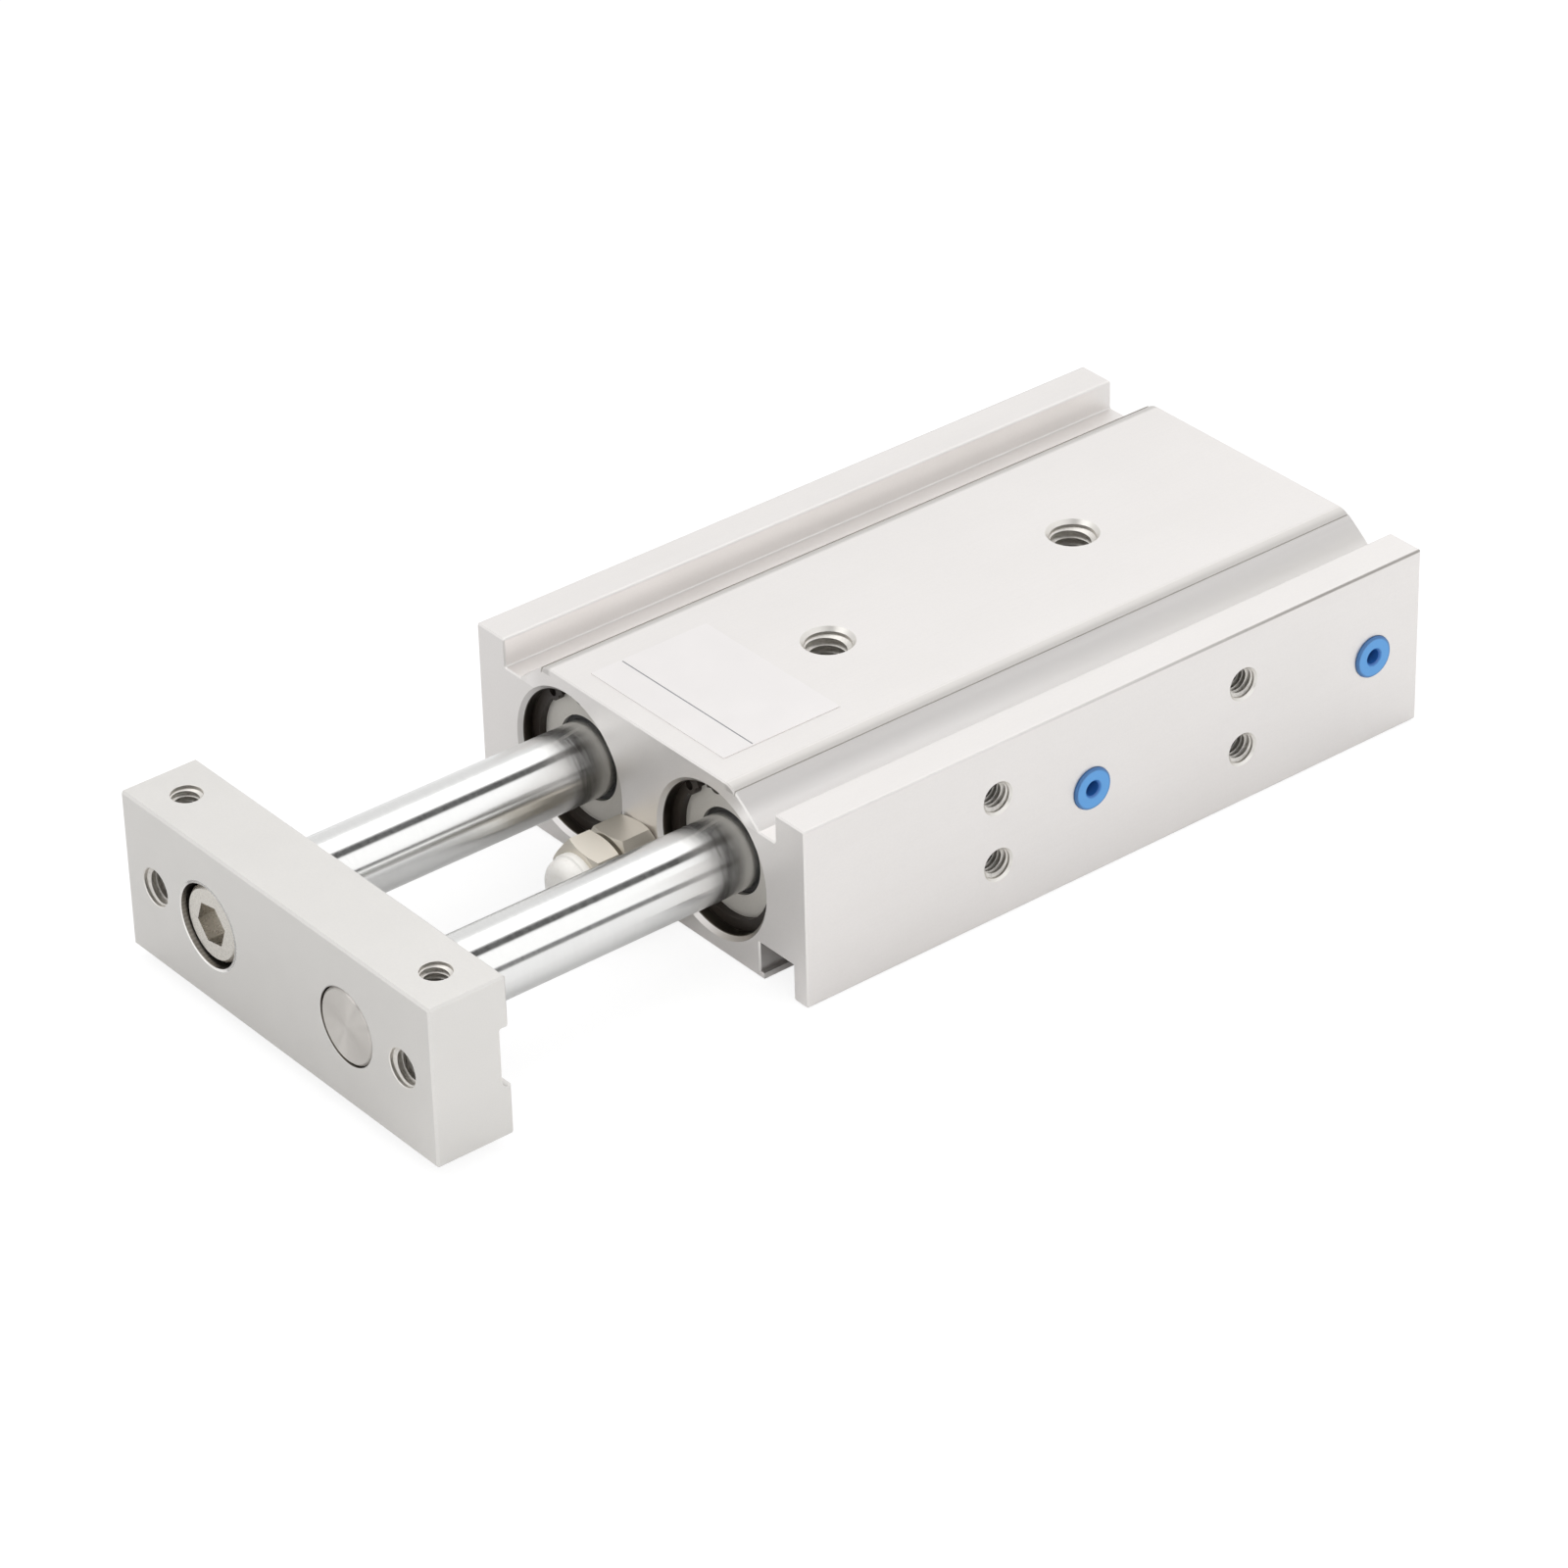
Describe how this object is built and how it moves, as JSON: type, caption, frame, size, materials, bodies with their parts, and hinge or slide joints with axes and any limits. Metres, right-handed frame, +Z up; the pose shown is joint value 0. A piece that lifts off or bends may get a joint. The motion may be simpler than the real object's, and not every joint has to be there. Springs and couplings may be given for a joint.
{
  "type": "guided pneumatic cylinder",
  "caption": "Compact twin-rod guided pneumatic cylinder: flat aluminium body, parallel chromed rods joined by an end plate, adjusting bolt between them.",
  "frame": {"origin": "on the mounting face under the body, midway between the two vertical mounting holes", "axes": "+X along the rods towards the end plate, +Y to the side with the air ports, +Z up from the mounting face"},
  "size_m": [0.154, 0.0644, 0.0251],
  "materials": {
    "anodised_aluminium": "satin clear anodised",
    "plain_aluminium": "machined",
    "bearing_aluminium": "turned bearing alloy",
    "hard_chromed_steel": "polished hard chrome",
    "nitrile_rubber": "matt black",
    "urethane": "soft amber",
    "white_resin": "off-white, satin",
    "phosphated_steel": "black phosphate",
    "nickel_plated_steel": "warm nickel plate",
    "blackened_steel": "black oxide",
    "ferrite_magnet": "matt dark grey",
    "blue_plastic": "satin",
    "label_film": "thin clear film"
  },
  "bodies": {
    "housing_body": {"housing": "anodised_aluminium", "seal_retainer_left": "plain_aluminium", "seal_retainer_right": "plain_aluminium", "rod_seal_left": "nitrile_rubber", "rod_seal_right": "nitrile_rubber", "rod_cover_left": "bearing_aluminium", "rod_cover_right": "bearing_aluminium", "rod_cover_o_ring_left": "nitrile_rubber", "rod_cover_o_ring_right": "nitrile_rubber", "head_cover_left": "plain_aluminium", "head_cover_right": "plain_aluminium", "head_cover_o_ring_left": "nitrile_rubber", "head_cover_o_ring_right": "nitrile_rubber", "rear_bumper_left": "urethane", "rear_bumper_right": "urethane", "front_retaining_ring_left": "phosphated_steel", "front_retaining_ring_right": "phosphated_steel", "rear_retaining_ring_left": "phosphated_steel", "rear_retaining_ring_right": "phosphated_steel", "adjusting_bolt": "nickel_plated_steel", "lock_nut": "nickel_plated_steel", "bolt_bumper": "white_resin", "front_port_plug": "blue_plastic", "rear_port_plug": "blue_plastic", "blank_label": "label_film"},
    "rod_body": {"piston_rod_left": "hard_chromed_steel", "piston_rod_right": "hard_chromed_steel", "piston_left": "plain_aluminium", "piston_right": "plain_aluminium", "piston_magnet_left": "ferrite_magnet", "piston_magnet_right": "ferrite_magnet", "piston_seal_left": "nitrile_rubber", "piston_seal_right": "nitrile_rubber", "front_bumper_left": "urethane", "front_bumper_right": "urethane", "end_plate": "anodised_aluminium", "plate_screw": "nickel_plated_steel", "plate_set_screw": "blackened_steel"}
  },
  "joints": [
    {"name": "rod_slide", "type": "slide", "parent": "housing_body", "child": "rod_body", "axis": [-1, 0, 0], "range_m": [0, 0.03]}
  ]
}
